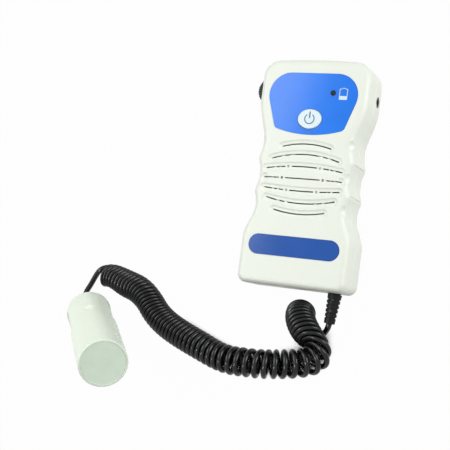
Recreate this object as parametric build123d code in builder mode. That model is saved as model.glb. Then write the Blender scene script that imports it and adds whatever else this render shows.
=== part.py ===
from build123d import *
from math import cos, pi, radians, sin, sqrt, tan
import os

# A pocket fetal doppler: a hand unit, a curly lead and a probe.
# Millimetres. The hand unit lies on its back, its head towards +Y and its keypad up.
# The origin is the middle of the hand unit's back, on the surface that it lies on.

# ---- casing of the hand unit ----
case_length = 145.0
case_width = 72.0
case_depth = 30.0
case_wall = 2.2
face_wall = 2.2          # front wall, under the keypad and the grille
back_wall = 3.0
parting_height = 15.0    # where the two shells meet
front_round = 4.0
back_round = 3.2
top_bow = 1.4            # how far the top edge bows out
top_corner = 11.0
base_corner = 5.5
grip_width = 60.4        # across the bottoms of the finger scallops
crest_width = 64.6       # across the crests between them
crest_round = 5.0
head_shoulder = 47.0     # where the head starts to narrow
neck_place = 27.5        # where the first scallop starts
upper_crest = 7.5
lower_crest = -13.5
waist_place = -31.0      # where the last scallop ends
base_shoulder = -43.0    # where the base has its full width
scallops = [18.0, -2.5, -22.5]
dimple_radius = 7.0      # thumb-soft hollow on the face's edge at each scallop
dimple_depth = 0.9
seam_groove = 0.35       # chamfer on both shells along their joint
lip_height = 1.4
fit_gap = 0.15           # between pieces that are fitted together

# ---- keypad, key, indicator and badge ----
sheet_thickness = 0.6
sheet_proud = 0.1
pad_margin = 9.3         # from the top edge of the case
pad_bottom = 23.7
pad_top_half = 34.7      # to the corners before they are rounded
pad_top_round = 14.0
pad_low_half = 22.9
pad_low_corner = 27.4
pad_low_round = 4.0
key_place = 33.7
key_length = 15.6
key_height = 12.6
key_proud = 0.9
key_travel = 0.6
key_rim = 1.2            # flange that holds the key in, and its thickness
key_stem = 4.0
key_gap = 0.35
led_side = 13.2
led_down = 21.6          # from the top edge
led_diameter = 3.4
led_height = 6.0
badge_up = 24.9          # from the base to the middle of the badge
badge_length = 60.0
badge_height = 12.8

# ---- speaker grille: place, half width, fall of the ends, place of the breaks ----
slots = [
    (17.9, 16.0, 2.3, None),
    (11.2, 22.0, 3.5, None),
    (3.4, 25.0, 2.1, 10.5),
    (-4.4, 25.5, 0.3, 13.6),
    (-12.2, 24.8, -1.1, 10.0),
    (-20.0, 22.4, -2.7, None),
    (-26.8, 16.6, -1.9, None),
]
slot_width = 0.8
groove_radius = 4.0      # the hollow between two ribs
groove_depth = 1.05
break_web = 1.4          # each side of the round hole in a break
break_hole = 1.8

# ---- speaker ----
speaker_place = -4.4
speaker_diameter = 40.0
speaker_rim = 1.0        # thickness of the frame's rim
rim_width = 1.6
speaker_drop = 2.7       # from the rim down to the frame's back plate
plate_thickness = 0.8
magnet_diameter = 18.0
magnet_clearance = 1.0   # above the battery bay
gasket_thickness = 0.5
cone_thickness = 0.3
seat_wall = 1.2
seat_height = 4.0

# ---- volume wheel and headphone socket ----
wheel_down = 20.2        # from the top edge to the wheel's middle
wheel_diameter = 18.0
wheel_proud = 4.0        # past the side wall
wheel_thickness = 4.4
wheel_bottom = 19.6
wheel_gap = 0.5
wheel_ridges = 36
ridge_radius = 0.45
shaft_diameter = 3.0
shaft_gap = 0.05
shaft_proud = 0.3
pot_size = (9.0, 10.0)
pot_offset = 2.3         # the shaft stands off the middle of its body
socket_down = 21.5       # from the top edge
socket_height = 8.2
socket_face = 6.8
socket_bore = 3.6
socket_depth = 12.0
socket_body = (13.0, 8.6, 6.0)
socket_set_in = 0.2
socket_legs = (8.0, 6.0) # between the middles of its four legs
socket_leg = (1.0, 0.6)

# ---- electronics ----
board_bottom = 11.6
board_thickness = 1.6
board_down = 14.5        # from the top edge of the case to the board's
board_up = 9.0           # from the battery bay to the board's lower edge
board_edge = 2.0
board_screw = 2.0
board_screw_length = 6.0
upper_board_screw = (25.0, 20.0)     # to the side, and down from the board's upper edge
lower_board_screw = (21.5, 6.0)      # to the side, and up from its lower edge
switch_side = 6.0
switch_height = 3.8
plunger_diameter = 3.4
chips = [(9.0, 18.0, 10.0, 10.0, 1.2), (-11.0, 20.0, 7.0, 5.0, 1.6), (-12.0, 7.0, 5.0, 5.0, 1.0)]
capacitor_side = (12.0, -13.0)
capacitor_down = (14.5, 24.0)        # from the board's upper edge
capacitor_diameter = 6.3
capacitor_height = 5.4

# ---- battery bay and door ----
cell_diameter = 14.4
cell_length = 49.2
cell_nub = 1.3
cell_nub_diameter = 5.2
cell_gap = 0.8
cell_rest = 0.3          # from the door, and from the roof, to a cell
bay_up = 6.5             # from the base to the bay
bay_spare = 3.5          # longer than a cell
bay_wall = 1.5
contact_thickness = 0.4
contact_size = 11.0
contact_button = 4.0
door_width = 40.0
door_lap = 4.0           # past the bay's upper end
door_thickness = 1.6
door_gap = 0.2
door_travel = 6.0
tab_width = 5.0
tab_reach = 2.5
tab_thickness = 1.1
tab_root = 4.0
ridge_count = 5
ridge_length = 14.0
ridge_pitch = 2.2
ridge_width = 1.0
ridge_depth = 0.5

# ---- case screws ----
top_screw = (12.0, 8.5)  # in from the side and from the top edge
base_screw = (7.0, 14.5) # in from the side and from the base
screw_diameter = 2.6
screw_head = 4.8
screw_head_height = 1.8
screw_length = 14.0
screw_seat = 7.0         # height of the shoulder that the head pulls on
screw_gap = 0.02
boss_wall = 1.4

# ---- lead ----
cord_diameter = 3.8
coil_outside = 19.0
lead_exit = 3.8          # straight run at each end
relief_side_margin = 10.4        # from the case's side to where it leaves the base
relief_height = 13.5
relief_lean = (-5.5, -3.5)       # degrees towards -X and towards the surface
relief_length = 19.0
relief_root = 9.0
relief_tip = 6.8
relief_neck = 7.0
relief_flange = 10.4
relief_stand_off = 0.5
relief_grooves = 5
relief_groove_width = 1.0
relief_groove_depth = 0.6

# ---- probe ----
probe_length = 95.0
probe_diameter = 31.0
probe_wall = 2.8
probe_round = 5.0
probe_foot = (-152.2, -105.3)    # X and Y of the middle of its rear end
probe_turn = -26.4               # degrees from +X to the way that it points
probe_rise = 47.1                # degrees above the surface
probe_roll = -45.1
probe_rear_wall = 3.0
probe_rim = 1.4                  # round the lens
probe_edge = 0.5
grip_depth = 1.7
grip_start = 3.0
grip_end = 40.0
grip_ribs = 6
grip_rib_pitch = 4.6
grip_rib_first = 11.0
grip_rib_radius = 0.55
grip_rib_length = 10.0
thumb_place = 35.0
thumb_diameter = 8.4
thumb_depth = 1.1
lens_thickness = 3.0
lens_recess = 0.3
crystal_diameter = 22.0
crystal_thickness = 2.0
crystal_split = 1.0
backing_length = 7.0
probe_board_length = 48.0
probe_board_start = 24.0
probe_board_thickness = 1.2
grommet_hole = 6.0
grommet_proud = 1.6
grommet_lip = 0.8

# Route of the coil's middle line and of the lead's two ends, chosen by hand.
coil_height = coil_outside / 2 + 0.05
coil_route = [
    (-138.9, -77.5, coil_height),
    (-126.5, -82.5, coil_height),
    (-110.5, -86.8, coil_height),
    (-101.5, -98.0, coil_height),
    (-89.0, -107.3, coil_height),
    (-71.0, -114.2, coil_height),
    (-51.0, -120.0, coil_height),
    (-31.0, -123.6, coil_height),
    (-9.0, -123.0, coil_height),
    (2.4, -120.4, 9.8),
    (13.4, -117.6, 10.4),
    (17.8, -106.4, 12.2),
    (10.4, -96.5, 13.3),
    (6.0, -90.0, 13.7),
    (3.2, -83.6, 13.7),
]
# from the relief down to the surface, back under the coil's raised end and up into it
unit_route = [
    (23.6, -98.2, 9.2),
    (22.6, -99.6, 5.6),
    (19.6, -100.6, 2.6),
    (14.8, -100.8, 1.9),
    (10.0, -98.6, 1.9),
    (7.2, -93.6, 2.0),
    (5.2, -88.4, 3.0),
    (4.2, -84.9, 5.2),
]
probe_route = [
    (-159.4, -100.0, 2.3),
    (-160.8, -94.5, 2.0),
    (-158.6, -89.0, 2.2),
    (-154.9, -82.6, 4.0),
    (-150.6, -76.8, 7.8),
    (-146.8, -73.3, 11.4),
    (-141.6, -70.9, 13.2),
    (-136.3, -72.6, 13.7),
]

# ---- levels and places that follow from the sizes above ----
face_inside = case_depth - face_wall
board_top = board_bottom + board_thickness
top_edge = case_length / 2
base_edge = -case_length / 2
pad_top = top_edge - pad_margin
led_place = (led_side, top_edge - led_down)
badge_place = base_edge + badge_up
wheel_place = (wheel_diameter / 2 - case_width / 2 - wheel_proud, top_edge - wheel_down)
socket_place = (top_edge - socket_down, socket_height)
relief_place = (case_width / 2 - relief_side_margin, relief_height)
case_screws = [
    (way * (case_width / 2 - margin), level)
    for margin, level in (
        (top_screw[0], top_edge - top_screw[1]),
        (base_screw[0], base_edge + base_screw[1]),
    )
    for way in (-1, 1)
]
cell_height = door_thickness + cell_rest + cell_diameter / 2
bay_roof = cell_height + cell_diameter / 2 + cell_rest
bay_width = 2 * cell_diameter + cell_gap + 4 * cell_rest
bay_low = base_edge + bay_up
bay_length = cell_length + cell_nub + bay_spare
bay_high = bay_low + bay_length
bay_middle = bay_low + bay_length / 2
door_top = bay_high + door_lap
board_low = bay_high + board_up
board_high = top_edge - board_down
board_screws = [
    (way * side, level)
    for side, level in (
        (upper_board_screw[0], board_high - upper_board_screw[1]),
        (lower_board_screw[0], board_low + lower_board_screw[1]),
    )
    for way in (-1, 1)
]
capacitors = [
    (side, board_high - down) for side, down in zip(capacitor_side, capacitor_down)
]
cell_side = (cell_diameter + cell_gap) / 2
lens_diameter = probe_diameter - 2 * probe_rim

os.makedirs("parts", exist_ok=True)


def case_outline(inset=0.0):
    # the right side from the top down, its mirror image, and the two ends
    half = case_width / 2 - inset
    grip = grip_width / 2 - inset
    crest = crest_width / 2 - inset
    head, base = top_edge - inset, base_edge + inset
    shoulder = head - top_bow
    with BuildSketch() as outline:
        with BuildLine():
            Line((half, shoulder), (half, head_shoulder))
            Spline(
                [(half, head_shoulder), (crest - 0.4, neck_place)],
                tangents=[(0, -1), (-0.28, -1)],
            )
            ThreePointArc(
                (crest - 0.4, neck_place), (grip, scallops[0]), (crest, upper_crest)
            )
            ThreePointArc(
                (crest, upper_crest), (grip - 0.2, scallops[1]), (crest, lower_crest)
            )
            ThreePointArc(
                (crest, lower_crest), (grip, scallops[2]), (crest - 0.2, waist_place)
            )
            Spline(
                [(crest - 0.2, waist_place), (half, base_shoulder)],
                tangents=[(0.4, -1), (0.1, -1)],
            )
            Line((half, base_shoulder), (half, base))
            mirror(about=Plane.YZ)
            Line((half, base), (-half, base))
            ThreePointArc((-half, shoulder), (0, head), (half, shoulder))
        make_face()
        ends = outline.vertices()
        fillet(ends.filter_by(lambda v: abs(v.Y - shoulder) < 0.01), top_corner - inset)
        ends = outline.vertices()
        fillet(ends.filter_by(lambda v: abs(v.Y - base) < 0.01), base_corner - inset)
        ends = outline.vertices()
        fillet(ends.filter_by(lambda v: abs(abs(v.X) - crest) < 0.01), crest_round)
    return outline.sketch


def pad_outline(grow=0.0):
    with BuildSketch() as outline:
        with BuildLine():
            Line((0, pad_top), (pad_top_half, pad_top))
            Line((pad_top_half, pad_top), (pad_low_half, pad_low_corner))
            mirror(about=Plane.YZ)
            ThreePointArc(
                (-pad_low_half, pad_low_corner), (0, pad_bottom), (pad_low_half, pad_low_corner)
            )
        make_face()
        ends = outline.vertices().filter_by(lambda v: abs(v.X) > 1)
        fillet(ends.filter_by(lambda v: v.Y > pad_low_corner + 1), pad_top_round)
        ends = outline.vertices()
        fillet(ends.filter_by(lambda v: abs(v.Y - pad_low_corner) < 0.01), pad_low_round)
        if grow:
            offset(amount=grow)
    return outline.sketch


def on_slot(slot, x):
    place, half, fall, _ = slot
    return (x, place - fall * (x / half) ** 2)


def slot_curve(slot, start, end, height=0.0):
    middle = (start + end) / 2
    points = [(*on_slot(slot, x), height) for x in (start, middle, end)]
    return ThreePointArc(*points, mode=Mode.PRIVATE)


def finish(part, name):
    part.label = name
    export_step(part, f"parts/{name}.step")


# The whole casing's outer form, which both shells and the door are cut from.
with BuildPart() as case_form:
    with BuildSketch():
        add(case_outline())
    extrude(amount=case_depth)
    fillet(case_form.faces().sort_by(Axis.Z)[-1].edges(), front_round)
    fillet(case_form.faces().sort_by(Axis.Z)[0].edges(), back_round)
    reach = front_round + dimple_radius - dimple_depth
    side = grip_width / 2 - front_round + reach * cos(radians(45))
    level = case_depth - front_round + reach * sin(radians(45))
    with Locations([(x, y, level) for x in (-side, side) for y in scallops]):
        Sphere(dimple_radius, mode=Mode.SUBTRACT)

# ---- front shell ----
relief_axis = Vector(sin(radians(relief_lean[0])), -1, sin(radians(relief_lean[1]))).normalized()
relief_plane = Plane(
    origin=(relief_place[0], base_edge, relief_place[1]), x_dir=(1, 0, 0), z_dir=relief_axis
)
relief_hole_plane = Plane(
    origin=(relief_place[0], base_edge - 1, relief_place[1]), x_dir=(1, 0, 0), z_dir=(0, 1, 0)
)
relief_hole = relief_neck / 2 + 0.4

with BuildPart() as front_shell:
    add(case_form.part)
    split(bisect_by=Plane.XY.offset(parting_height), keep=Keep.TOP)
    chamfer(front_shell.faces().sort_by(Axis.Z)[0].edges(), seam_groove)
    with BuildSketch(Plane.XY.offset(parting_height)):
        add(case_outline(case_wall))
    extrude(amount=face_inside - parting_height, mode=Mode.SUBTRACT)
    with BuildSketch(Plane.XY.offset(parting_height)):
        add(case_outline(case_wall / 2))
    extrude(amount=lip_height + fit_gap, mode=Mode.SUBTRACT)
    # screw bosses and the speaker's seat hang from the front wall
    with BuildSketch(Plane.XY.offset(parting_height)):
        with Locations(case_screws):
            Circle(screw_diameter / 2 + boss_wall)
            Circle(screw_diameter / 2 + screw_gap, mode=Mode.SUBTRACT)
    extrude(amount=face_inside - parting_height)
    with BuildSketch(Plane.XY.offset(face_inside - seat_height)):
        with Locations((0, speaker_place)):
            Circle(speaker_diameter / 2 + fit_gap + seat_wall)
            Circle(speaker_diameter / 2 + fit_gap, mode=Mode.SUBTRACT)
    extrude(amount=seat_height)
    # seats of the keypad and the badge
    with BuildSketch(Plane.XY.offset(case_depth - sheet_thickness + sheet_proud)):
        add(pad_outline(fit_gap))
        with Locations((0, badge_place)):
            SlotOverall(badge_length + 2 * fit_gap, badge_height + 2 * fit_gap)
    extrude(amount=case_depth, mode=Mode.SUBTRACT)
    with BuildSketch(Plane.XY.offset(face_inside)):
        with Locations((0, key_place)):
            Ellipse(key_length / 2 + key_gap, key_height / 2 + key_gap)
        with Locations(led_place):
            Circle(led_diameter / 2 + fit_gap)
    extrude(amount=case_depth, mode=Mode.SUBTRACT)
    # the slots of the grille
    with BuildSketch(Plane.XY.offset(face_inside)):
        for slot in slots:
            half, break_at = slot[1], slot[3]
            if break_at is None:
                SlotArc(slot_curve(slot, -half, half), slot_width)
            else:
                stop = break_at + break_hole / 2 + break_web
                start = break_at - break_hole / 2 - break_web
                SlotArc(slot_curve(slot, -start, start), slot_width)
                for way in (-1, 1):
                    SlotArc(slot_curve(slot, way * stop, way * half), slot_width)
                    with Locations(on_slot(slot, way * break_at)):
                        Circle(break_hole / 2)
    extrude(amount=face_wall, mode=Mode.SUBTRACT)
    # hollows between its ribs
    for slot in slots:
        half = slot[1]
        run = slot_curve(slot, -half, half, case_depth + groove_radius - groove_depth)
        with BuildSketch(Plane(origin=run @ 0, z_dir=run % 0)):
            Circle(groove_radius)
        sweep(path=run, mode=Mode.SUBTRACT)
        with Locations(run @ 0, run @ 1):
            Sphere(groove_radius, mode=Mode.SUBTRACT)
    # the volume wheel's slot in the left wall
    wheel_reach = sqrt((wheel_diameter / 2) ** 2 - (case_width / 2 - case_wall + wheel_place[0]) ** 2)
    with BuildSketch(Plane.XY.offset(wheel_bottom - wheel_gap)):
        with Locations((-case_width / 2, wheel_place[1])):
            Rectangle(4 * case_wall, 2 * (wheel_reach + wheel_gap))
    extrude(amount=wheel_thickness + 2 * wheel_gap, mode=Mode.SUBTRACT)
    # upper half of the strain relief's hole
    with BuildSketch(relief_hole_plane):
        Circle(relief_hole)
    extrude(amount=case_wall + 1.5, mode=Mode.SUBTRACT)
finish(front_shell.part, "front_shell")

# ---- rear shell ----
with BuildPart() as rear_shell:
    add(case_form.part)
    split(bisect_by=Plane.XY.offset(parting_height), keep=Keep.BOTTOM)
    chamfer(rear_shell.faces().sort_by(Axis.Z)[-1].edges(), seam_groove)
    with BuildSketch(Plane.XY.offset(back_wall)):
        add(case_outline(case_wall))
    extrude(amount=parting_height, mode=Mode.SUBTRACT)
    with BuildSketch(Plane.XY.offset(parting_height)):
        add(case_outline(case_wall / 2 + fit_gap))
        add(case_outline(case_wall), mode=Mode.SUBTRACT)
    extrude(amount=lip_height)
    # the battery bay is a box without a floor
    with BuildSketch(Plane.XY.offset(back_wall)):
        with Locations((0, bay_middle)):
            Rectangle(bay_width + 2 * bay_wall, bay_length + 2 * bay_wall)
    extrude(amount=bay_roof + bay_wall - back_wall)
    with BuildSketch():
        with Locations((0, bay_middle)):
            Rectangle(bay_width, bay_length)
    extrude(amount=bay_roof, mode=Mode.SUBTRACT)
    # bosses for the case screws and the board
    with BuildSketch(Plane.XY.offset(back_wall)):
        with Locations(case_screws):
            Circle(screw_head / 2 + 2 * fit_gap + boss_wall)
    extrude(amount=parting_height - back_wall)
    with BuildSketch():
        with Locations(case_screws):
            Circle(screw_head / 2 + 2 * fit_gap)
    extrude(amount=screw_seat, mode=Mode.SUBTRACT)
    with BuildSketch():
        with Locations(case_screws):
            Circle(screw_diameter / 2 + fit_gap)
    extrude(amount=parting_height, mode=Mode.SUBTRACT)
    with BuildSketch(Plane.XY.offset(back_wall)):
        with Locations(board_screws):
            Circle(board_screw / 2 + boss_wall)
    extrude(amount=board_bottom - back_wall)
    with BuildSketch(Plane.XY.offset(board_top - board_screw_length)):
        with Locations(board_screws):
            Circle(board_screw / 2 + screw_gap)
    extrude(amount=board_screw_length, mode=Mode.SUBTRACT)
    # seat of the door, open at the base, and the notch that takes its tab
    with BuildSketch():
        with Locations((0, door_top + door_gap)):
            Rectangle(door_width + 2 * door_gap, case_length, align=(Align.CENTER, Align.MAX))
    extrude(amount=door_thickness + door_gap / 2, mode=Mode.SUBTRACT)
    notch_high = door_top + tab_reach + door_gap
    with BuildSketch(Plane.XY.offset(door_thickness - door_gap)):
        with Locations((0, bay_high)):
            Rectangle(
                tab_width + 2 * door_gap, notch_high - bay_high, align=(Align.CENTER, Align.MIN)
            )
    extrude(amount=tab_thickness + 3 * door_gap, mode=Mode.SUBTRACT)
    # holes for the headphone socket and the strain relief
    with BuildSketch(Plane.YZ.offset(case_width / 2 - case_wall - 1)):
        with Locations(socket_place):
            Circle(socket_face / 2 + fit_gap)
    extrude(amount=case_wall + 2, mode=Mode.SUBTRACT)
    with BuildSketch(relief_hole_plane):
        Circle(relief_hole)
    extrude(amount=case_wall + 1.5, mode=Mode.SUBTRACT)
finish(rear_shell.part, "rear_shell")

# ---- battery door, which slides off towards the base ----
with BuildPart() as battery_door:
    add(case_form.part)
    with BuildSketch():
        with Locations((0, door_top)):
            Rectangle(door_width, case_length, align=(Align.CENTER, Align.MAX))
    extrude(amount=door_thickness, mode=Mode.INTERSECT)
    with BuildSketch(Plane.XY.offset(door_thickness)):
        with Locations((0, door_top + tab_reach)):
            Rectangle(tab_width, tab_reach + tab_root, align=(Align.CENTER, Align.MAX))
    extrude(amount=tab_thickness)
    with BuildSketch():
        with Locations((0, door_top - 2 * ridge_count)):
            with GridLocations(1, ridge_pitch, 1, ridge_count):
                SlotOverall(ridge_length, ridge_width)
    extrude(amount=ridge_depth, mode=Mode.SUBTRACT)
finish(battery_door.part, "battery_door")

# ---- keypad overlay, badge and power key ----
with BuildPart() as keypad_overlay:
    with BuildSketch(Plane.XY.offset(case_depth - sheet_thickness + sheet_proud)):
        add(pad_outline())
        with Locations((0, key_place)):
            Ellipse(key_length / 2 + key_gap, key_height / 2 + key_gap, mode=Mode.SUBTRACT)
        with Locations(led_place):
            Circle(led_diameter / 2 + fit_gap, mode=Mode.SUBTRACT)
    extrude(amount=sheet_thickness)
finish(keypad_overlay.part, "keypad_overlay")

with BuildPart() as badge_plate:
    with BuildSketch(Plane.XY.offset(case_depth - sheet_thickness + sheet_proud)):
        with Locations((0, badge_place)):
            SlotOverall(badge_length, badge_height)
    extrude(amount=sheet_thickness)
finish(badge_plate.part, "badge_plate")

switch_top = board_top + switch_height
key_under = face_inside - fit_gap - key_rim
stem_bottom = switch_top + key_rim + key_travel + fit_gap
with BuildPart() as power_key:
    with BuildSketch(Plane.XY.offset(key_under)):
        with Locations((0, key_place)):
            Ellipse(key_length / 2 + key_rim, key_height / 2 + key_rim)
    extrude(amount=key_rim)
    with BuildSketch(Plane.XY.offset(key_under)):
        with Locations((0, key_place)):
            Ellipse(key_length / 2, key_height / 2)
    extrude(amount=case_depth + key_proud - key_under)
    fillet(power_key.faces().sort_by(Axis.Z)[-1].edges(), key_proud * 0.6)
    with BuildSketch(Plane.XY.offset(stem_bottom)):
        with Locations((0, key_place)):
            Circle(key_stem / 2)
    extrude(amount=key_under - stem_bottom)
finish(power_key.part, "power_key")

# ---- indicator lamp with its two legs ----
with BuildPart() as led_indicator:
    with BuildSketch(Plane.XY.offset(case_depth - led_height)):
        with Locations(led_place):
            Circle(led_diameter / 2)
    extrude(amount=led_height + sheet_proud)
    with BuildSketch(Plane.XY.offset(board_top)):
        with Locations(led_place):
            with GridLocations(1.8, 1, 2, 1):
                Rectangle(0.5, 0.5)
    extrude(amount=case_depth - led_height - board_top)
finish(led_indicator.part, "led_indicator")

# ---- volume wheel on its potentiometer ----
wheel_top = wheel_bottom + wheel_thickness
with BuildPart() as volume_wheel:
    with BuildSketch(Plane.XY.offset(wheel_bottom)):
        with Locations(wheel_place):
            Circle(wheel_diameter / 2)
            Circle(shaft_diameter / 2 + shaft_gap, mode=Mode.SUBTRACT)
            with PolarLocations(wheel_diameter / 2, wheel_ridges):
                Circle(ridge_radius, mode=Mode.SUBTRACT)
    extrude(amount=wheel_thickness)
finish(volume_wheel.part, "volume_wheel")

with BuildPart() as volume_control:
    with BuildSketch(Plane.XY.offset(board_top)):
        with Locations((wheel_place[0] + pot_offset, wheel_place[1])):
            Rectangle(*pot_size)
    extrude(amount=wheel_bottom - wheel_gap - board_top)
    with BuildSketch(Plane.XY.offset(wheel_bottom - wheel_gap)):
        with Locations(wheel_place):
            Circle(shaft_diameter / 2)
    extrude(amount=wheel_thickness + wheel_gap + shaft_proud)
finish(volume_control.part, "volume_control")

# ---- headphone socket ----
socket_mouth = case_width / 2 - socket_set_in
body_outer = case_width / 2 - case_wall - 2 * fit_gap
with BuildPart() as headphone_socket:
    with BuildSketch(Plane.YZ.offset(body_outer - socket_body[0])):
        with Locations(socket_place):
            Rectangle(socket_body[1], socket_body[2])
    extrude(amount=socket_body[0])
    with BuildSketch(Plane.YZ.offset(body_outer)):
        with Locations(socket_place):
            Circle(socket_face / 2)
    extrude(amount=socket_mouth - body_outer)
    with BuildSketch(Plane.YZ.offset(socket_mouth - socket_depth)):
        with Locations(socket_place):
            Circle(socket_bore / 2)
    extrude(amount=socket_depth, mode=Mode.SUBTRACT)
    with BuildSketch(Plane.XY.offset(socket_place[1] + socket_body[2] / 2)):
        with Locations((body_outer - socket_body[0] / 2, socket_place[0])):
            with GridLocations(*socket_legs, 2, 2):
                Rectangle(*socket_leg)
    extrude(amount=board_bottom - socket_place[1] - socket_body[2] / 2)
finish(headphone_socket.part, "headphone_socket")

# ---- circuit board and what stands on it ----
with BuildPart() as main_board:
    with BuildSketch(Plane.XY.offset(board_bottom)):
        add(case_outline(case_wall + board_edge))
        for end, reach_to in ((board_low, Align.MAX), (board_high, Align.MIN)):
            with Locations((0, end)):
                Rectangle(
                    case_width, case_length, align=(Align.CENTER, reach_to), mode=Mode.SUBTRACT
                )
        with Locations(board_screws):
            Circle(board_screw / 2 + fit_gap, mode=Mode.SUBTRACT)
    extrude(amount=board_thickness)
finish(main_board.part, "main_board")

with BuildPart() as power_switch:
    with BuildSketch(Plane.XY.offset(board_top)):
        with Locations((0, key_place)):
            Rectangle(switch_side, switch_side)
    extrude(amount=switch_height)
    with BuildSketch(Plane.XY.offset(switch_top)):
        with Locations((0, key_place)):
            Circle(plunger_diameter / 2)
    extrude(amount=key_rim)
finish(power_switch.part, "power_switch")

with BuildPart() as board_components:
    for x, y, width, length, height in chips:
        with BuildSketch(Plane.XY.offset(board_top)):
            with Locations((x, y)):
                Rectangle(width, length)
        extrude(amount=height)
    with BuildSketch(Plane.XY.offset(board_top)):
        with Locations(capacitors):
            Circle(capacitor_diameter / 2)
    extrude(amount=capacitor_height)
finish(board_components.part, "board_components")

# ---- speaker ----
gasket_bottom = face_inside - gasket_thickness
rim_bottom = gasket_bottom - speaker_rim
plate_bottom = rim_bottom - speaker_drop
magnet_depth = plate_bottom - bay_roof - bay_wall - magnet_clearance
speaker_radius = speaker_diameter / 2
throat = magnet_diameter / 2 + 1
speaker_axis = Axis((0, speaker_place, 0), (0, 0, 1))
speaker_side = Plane(origin=(0, speaker_place, 0), x_dir=(1, 0, 0), z_dir=(0, -1, 0))

with BuildPart() as speaker_gasket:
    with BuildSketch(Plane.XY.offset(gasket_bottom)):
        with Locations((0, speaker_place)):
            Circle(speaker_radius)
            Circle(speaker_radius - rim_width, mode=Mode.SUBTRACT)
    extrude(amount=gasket_thickness)
finish(speaker_gasket.part, "speaker_gasket")

with BuildPart() as speaker_frame:
    with BuildSketch(speaker_side):
        Polygon(
            (speaker_radius, gasket_bottom),
            (speaker_radius, rim_bottom),
            (speaker_radius - rim_width, rim_bottom),
            (throat, plate_bottom),
            (0, plate_bottom),
            (0, plate_bottom + plate_thickness),
            (throat - 0.4, plate_bottom + plate_thickness),
            (speaker_radius - rim_width - 0.8, gasket_bottom),
            align=None,
        )
    revolve(axis=speaker_axis)
finish(speaker_frame.part, "speaker_frame")

cone_rim = speaker_radius - rim_width - 1.4
cone_neck = 6.0
dome_rise = 1.2
dome_radius = (cone_neck**2 + dome_rise**2) / (2 * dome_rise)
neck_height = plate_bottom + plate_thickness + 0.7
with BuildPart() as speaker_cone:
    with BuildSketch(speaker_side):
        with BuildLine():
            Line((cone_rim, gasket_bottom), (cone_neck, neck_height))
            RadiusArc((cone_neck, neck_height), (0, neck_height + dome_rise), -dome_radius)
            Line(
                (0, neck_height + dome_rise), (0, neck_height + dome_rise + cone_thickness)
            )
            RadiusArc(
                (0, neck_height + dome_rise + cone_thickness),
                (cone_neck, neck_height + cone_thickness),
                dome_radius,
            )
            Line((cone_neck, neck_height + cone_thickness), (cone_rim, gasket_bottom + cone_thickness))
            Line((cone_rim, gasket_bottom + cone_thickness), (cone_rim, gasket_bottom))
        make_face()
    revolve(axis=speaker_axis)
finish(speaker_cone.part, "speaker_cone")

with BuildPart() as speaker_magnet:
    with BuildSketch(Plane.XY.offset(plate_bottom - magnet_depth)):
        with Locations((0, speaker_place)):
            Circle(magnet_diameter / 2)
    extrude(amount=magnet_depth)
    chamfer(speaker_magnet.faces().sort_by(Axis.Z)[0].edges(), min(0.4, magnet_depth / 4))
finish(speaker_magnet.part, "speaker_magnet")

# ---- batteries, laid head to tail, and their contacts ----
cell_low = bay_middle - (cell_length + cell_nub) / 2
cell_high = bay_middle + (cell_length + cell_nub) / 2
with BuildPart() as battery_cells:
    for x, can, nub, way in (
        (-cell_side, cell_low, cell_low + cell_length, 1),
        (cell_side, cell_high, cell_high - cell_length, -1),
    ):
        with BuildSketch(Plane(origin=(x, can, cell_height), x_dir=(way, 0, 0), z_dir=(0, way, 0))):
            Circle(cell_diameter / 2)
        extrude(amount=cell_length)
        with BuildSketch(Plane(origin=(x, nub, cell_height), x_dir=(way, 0, 0), z_dir=(0, way, 0))):
            Circle(cell_nub_diameter / 2)
        extrude(amount=cell_nub)
finish(battery_cells.part, "battery_cells")

with BuildPart() as battery_contacts:
    for wall, end, way in ((bay_low, cell_low, 1), (bay_high, cell_high, -1)):
        with BuildSketch(Plane(origin=(0, wall, cell_height), x_dir=(way, 0, 0), z_dir=(0, way, 0))):
            with GridLocations(2 * cell_side, 1, 2, 1):
                Rectangle(contact_size, contact_size)
        extrude(amount=contact_thickness)
        with BuildSketch(Plane(origin=(0, wall, cell_height), x_dir=(way, 0, 0), z_dir=(0, way, 0))):
            with GridLocations(2 * cell_side, 1, 2, 1):
                Circle(contact_button / 2)
        extrude(amount=abs(end - wall))
finish(battery_contacts.part, "battery_contacts")

# ---- screws ----
with BuildPart() as case_screw_set:
    with BuildSketch(Plane.XY.offset(screw_seat - screw_head_height)):
        with Locations(case_screws):
            Circle(screw_head / 2)
            RegularPolygon(screw_diameter / 2 * 0.8, 6, mode=Mode.SUBTRACT)
    extrude(amount=screw_head_height * 0.6)
    with BuildSketch(Plane.XY.offset(screw_seat - screw_head_height * 0.4)):
        with Locations(case_screws):
            Circle(screw_head / 2)
    extrude(amount=screw_head_height * 0.4)
    with BuildSketch(Plane.XY.offset(screw_seat)):
        with Locations(case_screws):
            Circle(screw_diameter / 2)
    extrude(amount=screw_length)
finish(case_screw_set.part, "case_screw_set")

with BuildPart() as board_screw_set:
    with BuildSketch(Plane.XY.offset(board_top)):
        with Locations(board_screws):
            Circle(board_screw * 0.9)
    extrude(amount=board_screw * 0.6)
    with BuildSketch(Plane.XY.offset(board_top)):
        with Locations(board_screws):
            Circle(board_screw / 2)
    extrude(amount=-board_screw_length)
finish(board_screw_set.part, "board_screw_set")

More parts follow.
